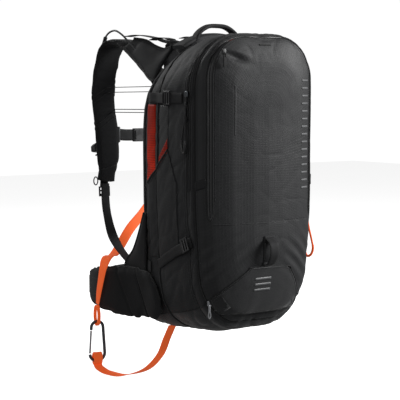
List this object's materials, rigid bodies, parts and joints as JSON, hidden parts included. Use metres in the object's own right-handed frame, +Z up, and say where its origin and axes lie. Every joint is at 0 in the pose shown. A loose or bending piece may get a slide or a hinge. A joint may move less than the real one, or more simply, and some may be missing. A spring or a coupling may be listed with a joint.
{
  "type": "avalanche airbag backpack",
  "caption": "Backpack for ski touring with a fold-down front panel, a stowed airbag with gas cylinder and pull handle, padded harness, hip belt and a leg loop with carabiner.",
  "frame": {"origin": "inside of the haul loop at its middle, the point the pack hangs from", "axes": "+Z up along the pack, +X to the right seen from the front panel (the left of the front view is -X, the wearer's left), -Y out of the front panel, +Y towards the wearer"},
  "size_m": [0.3679, 0.5335, 0.7235],
  "materials": {
    "shell_fabric": "matte ripstop",
    "base_fabric": "matte coated weave",
    "back_mesh": "matte spacer mesh",
    "padding": "matte",
    "airbag_fabric": "satin nylon",
    "black_webbing": "woven",
    "orange_webbing": "woven",
    "buckle_plastic": "satin",
    "frame_plastic": "satin",
    "ejector_plastic": "matte",
    "trigger_plastic": "satin",
    "cylinder_steel": "satin",
    "lever_steel": "satin",
    "valve_brass": "satin",
    "cable_rubber": "matte",
    "carabiner_metal": "anodised satin",
    "gate_steel": "bright",
    "pull_cord": "braided",
    "pull_cord_orange": "braided",
    "pull_tab": "coated",
    "pull_metal": "satin"
  },
  "bodies": {
    "pack": {"airbag_pack": "airbag_fabric", "back_pad_left": "padding", "back_pad_right": "padding", "back_panel": "back_mesh", "bottom_panel": "shell_fabric", "carabiner_body": "carabiner_metal", "cartridge_valve": "valve_brass", "compression_strap_low_left": "black_webbing", "compression_strap_low_right": "black_webbing", "compression_strap_top_left": "black_webbing", "compression_strap_top_right": "black_webbing", "ejector_housing": "ejector_plastic", "frame_sheet": "frame_plastic", "front_base_pocket": "base_fabric", "front_wall": "shell_fabric", "gas_cartridge": "cylinder_steel", "haul_loop": "black_webbing", "hip_buckle_female": "buckle_plastic", "hip_webbing_left": "black_webbing", "hip_webbing_right": "black_webbing", "hip_wing_left": "padding", "hip_wing_right": "padding", "ice_axe_loop": "black_webbing", "leg_ring": "orange_webbing", "leg_strap_lower": "orange_webbing", "leg_strap_upper": "orange_webbing", "load_lifter_left": "black_webbing", "load_lifter_right": "black_webbing", "lumbar_pad": "padding", "release_cable": "cable_rubber", "shoulder_pad_left": "padding", "shoulder_pad_right": "padding", "shoulder_webbing_left": "black_webbing", "shoulder_webbing_right": "black_webbing", "side_panel_left": "shell_fabric", "side_panel_right": "shell_fabric", "sternum_buckle_female": "buckle_plastic", "sternum_strap_left": "black_webbing", "sternum_strap_right": "black_webbing", "top_panel": "shell_fabric", "trigger_socket": "trigger_plastic"},
    "flap": {"front_flap": "shell_fabric"},
    "flap_pull": {"flap_zip_pull": "pull_tab"},
    "base_pull": {"base_zip_pull": "pull_metal"},
    "left_zip_pull": {"side_zip_pull_left": "pull_cord"},
    "right_zip_pull": {"side_zip_pull_right": "pull_cord_orange"},
    "trigger": {"trigger_handle": "trigger_plastic"},
    "lever": {"release_lever": "lever_steel"},
    "hip_plug": {"hip_buckle_male": "buckle_plastic"},
    "chest_plug": {"sternum_buckle_male": "buckle_plastic"},
    "gate": {"carabiner_gate": "gate_steel"},
    "load_lifter_buckle_left_tilt_body": {"load_lifter_buckle_left": "buckle_plastic"},
    "load_lifter_buckle_right_tilt_body": {"load_lifter_buckle_right": "buckle_plastic"},
    "shoulder_buckle_left_tilt_body": {"shoulder_buckle_left": "buckle_plastic"},
    "shoulder_buckle_right_tilt_body": {"shoulder_buckle_right": "buckle_plastic"},
    "compression_buckle_top_left_tilt_body": {"compression_buckle_top_left": "buckle_plastic"},
    "compression_buckle_top_right_tilt_body": {"compression_buckle_top_right": "buckle_plastic"},
    "compression_buckle_low_left_tilt_body": {"compression_buckle_low_left": "buckle_plastic"},
    "compression_buckle_low_right_tilt_body": {"compression_buckle_low_right": "buckle_plastic"}
  },
  "joints": [
    {"name": "flap_fold", "type": "hinge", "parent": "pack", "child": "flap", "pos_m": [0, -0.1712, -0.3829], "axis": [1, 0, 0], "range_deg": [0, 105]},
    {"name": "flap_pull_swing", "type": "hinge", "parent": "flap", "child": "flap_pull", "pos_m": [-0.1, -0.1605, -0.0605], "axis": [-1, 0, 0], "range_deg": [0, 90]},
    {"name": "base_pull_swing", "type": "hinge", "parent": "pack", "child": "base_pull", "pos_m": [-0.11325, -0.13158, -0.53828], "axis": [-1, 0, 0], "range_deg": [0, 90]},
    {"name": "left_zip_slide", "type": "slide", "parent": "pack", "child": "left_zip_pull", "axis": [0, 0, -1], "range_m": [0, 0.15]},
    {"name": "right_zip_slide", "type": "slide", "parent": "pack", "child": "right_zip_pull", "axis": [0, 0, 1], "range_m": [0, 0.18]},
    {"name": "trigger_pull", "type": "slide", "parent": "pack", "child": "trigger", "axis": [-0.029, 0.3596, -0.9327], "range_m": [0, 0.06]},
    {"name": "release_lever_turn", "type": "hinge", "parent": "pack", "child": "lever", "pos_m": [-0.06, -0.0425, -0.2105], "axis": [0, 1, 0], "range_deg": [0, 36]},
    {"name": "hip_buckle_release", "type": "slide", "parent": "pack", "child": "hip_plug", "axis": [0.7828, 0.6222, 0], "range_m": [0, 0.028]},
    {"name": "sternum_buckle_release", "type": "slide", "parent": "pack", "child": "chest_plug", "axis": [1, 0, 0], "range_m": [0, 0.02]},
    {"name": "carabiner_gate_swing", "type": "hinge", "parent": "pack", "child": "gate", "pos_m": [-0.1949, 0.17763, -0.6756], "axis": [0.1908, 0.9816, 0], "range_deg": [0, 25], "stiffness_Nm_per_rad": 0.03, "springref_deg": -14.32},
    {"name": "load_lifter_buckle_left_tilt", "type": "hinge", "parent": "pack", "child": "load_lifter_buckle_left_tilt_body", "pos_m": [-0.056, 0.066, -0.031], "axis": [1, 0, 0], "range_deg": [0, 30]},
    {"name": "load_lifter_buckle_right_tilt", "type": "hinge", "parent": "pack", "child": "load_lifter_buckle_right_tilt_body", "pos_m": [0.056, 0.066, -0.031], "axis": [1, 0, 0], "range_deg": [0, 30]},
    {"name": "shoulder_buckle_left_tilt", "type": "hinge", "parent": "pack", "child": "shoulder_buckle_left_tilt_body", "pos_m": [-0.1072, 0.2592, -0.3365], "axis": [1, 0, 0], "range_deg": [0, 30]},
    {"name": "shoulder_buckle_right_tilt", "type": "hinge", "parent": "pack", "child": "shoulder_buckle_right_tilt_body", "pos_m": [0.1072, 0.2592, -0.3365], "axis": [1, 0, 0], "range_deg": [0, 30]},
    {"name": "compression_buckle_top_left_tilt", "type": "hinge", "parent": "pack", "child": "compression_buckle_top_left_tilt_body", "pos_m": [-0.14998, -0.05, -0.1445], "axis": [0, 0, 1], "range_deg": [0, 30]},
    {"name": "compression_buckle_top_right_tilt", "type": "hinge", "parent": "pack", "child": "compression_buckle_top_right_tilt_body", "pos_m": [0.14998, -0.05, -0.1445], "axis": [0, 0, -1], "range_deg": [0, 30]},
    {"name": "compression_buckle_low_left_tilt", "type": "hinge", "parent": "pack", "child": "compression_buckle_low_left_tilt_body", "pos_m": [-0.14829, -0.106, -0.4203], "axis": [0, 0.417, 0.9089], "range_deg": [0, 30]},
    {"name": "compression_buckle_low_right_tilt", "type": "hinge", "parent": "pack", "child": "compression_buckle_low_right_tilt_body", "pos_m": [0.14649, -0.07873, -0.43281], "axis": [0, -0.417, -0.9089], "range_deg": [0, 30]}
  ],
  "couplings": [
    {"joint": "release_lever_turn", "follows": "trigger_pull", "rad_per_m": 10}
  ]
}
